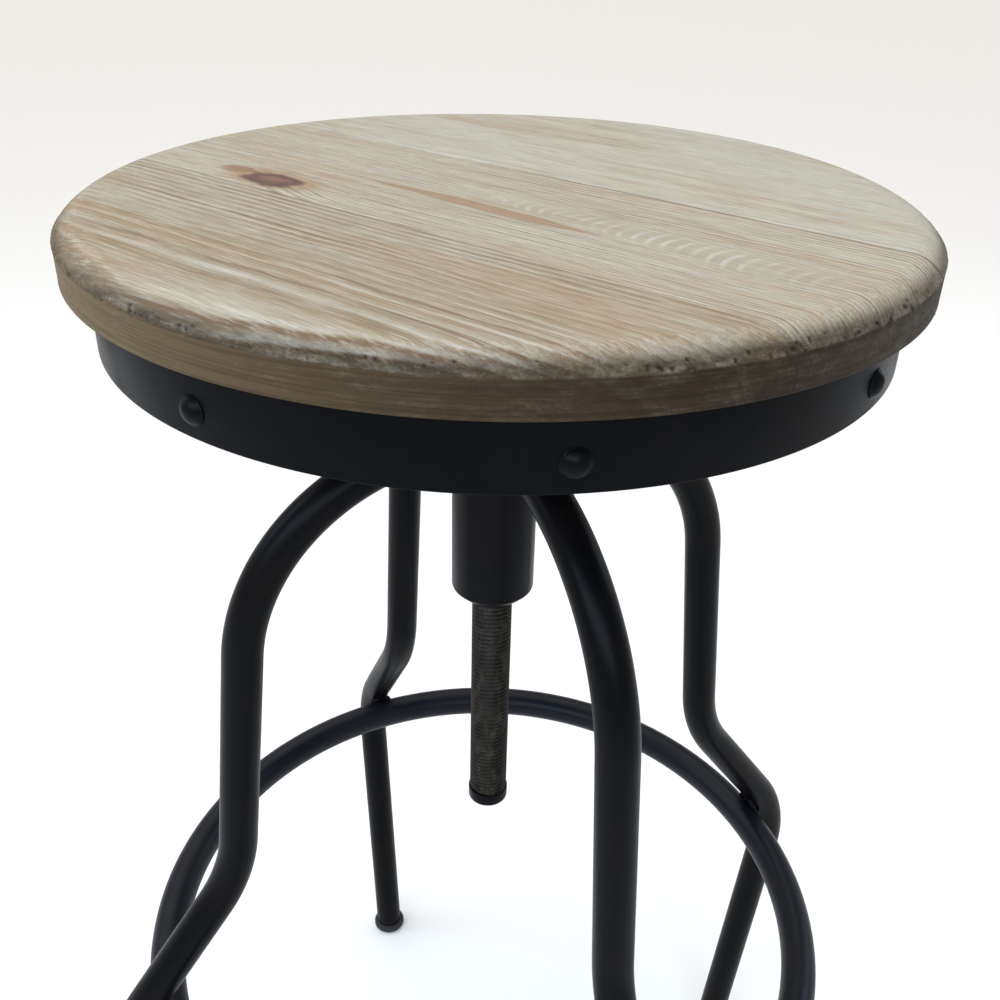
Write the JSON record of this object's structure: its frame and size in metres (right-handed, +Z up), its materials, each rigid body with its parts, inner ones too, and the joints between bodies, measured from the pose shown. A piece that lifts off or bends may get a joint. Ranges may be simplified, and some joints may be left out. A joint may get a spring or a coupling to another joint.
{
  "type": "bar stool with footrest",
  "caption": "Screw-adjusted bar stool: a round wooden seat in a steel band turns up and down on a threaded spindle over bent tube legs with a footrest ring.",
  "frame": {"origin": "on the floor, under the centre of the stool", "axes": "+Z up along the lift screw; -Y is the front, between the two front legs; legs stand on the diagonals"},
  "size_m": [0.3859, 0.386, 0.66],
  "materials": {
    "wood": "matt, limed and brushed",
    "black_steel": "satin",
    "bare_steel": "oiled, lightly browned",
    "rubber": "matt"
  },
  "bodies": {
    "base": {"hub_sleeve": "black_steel", "hub_nut_upper": "bare_steel", "hub_nut_lower": "bare_steel", "hub_welds": "black_steel", "front_right_leg": "black_steel", "back_right_leg": "black_steel", "back_left_leg": "black_steel", "front_left_leg": "black_steel", "footrest_ring": "black_steel", "ring_welds": "black_steel", "front_right_glide": "rubber", "back_right_glide": "rubber", "back_left_glide": "rubber", "front_left_glide": "rubber"},
    "rise": {"screw_end_stop": "black_steel"},
    "seat": {"seat_board_back": "wood", "seat_board_middle": "wood", "seat_board_front": "wood", "seat_backing_disc": "wood", "seat_band": "black_steel", "band_nails": "black_steel", "seat_flange": "black_steel", "flange_screws": "bare_steel", "spindle_collar": "black_steel", "spindle_welds": "black_steel", "lift_screw": "bare_steel"}
  },
  "joints": [
    {"name": "seat_rise", "type": "slide", "parent": "base", "child": "rise", "axis": [0, 0, 1], "range_m": [-0.0275, 0.13]},
    {"name": "seat_turn", "type": "hinge", "parent": "rise", "child": "seat", "pos_m": [0, 0, 0.6], "axis": [0, 0, 1], "range_deg": [-3960, 18720]}
  ],
  "couplings": [
    {"joint": "seat_rise", "follows": "seat_turn", "m_per_rad": 0.00039789}
  ]
}
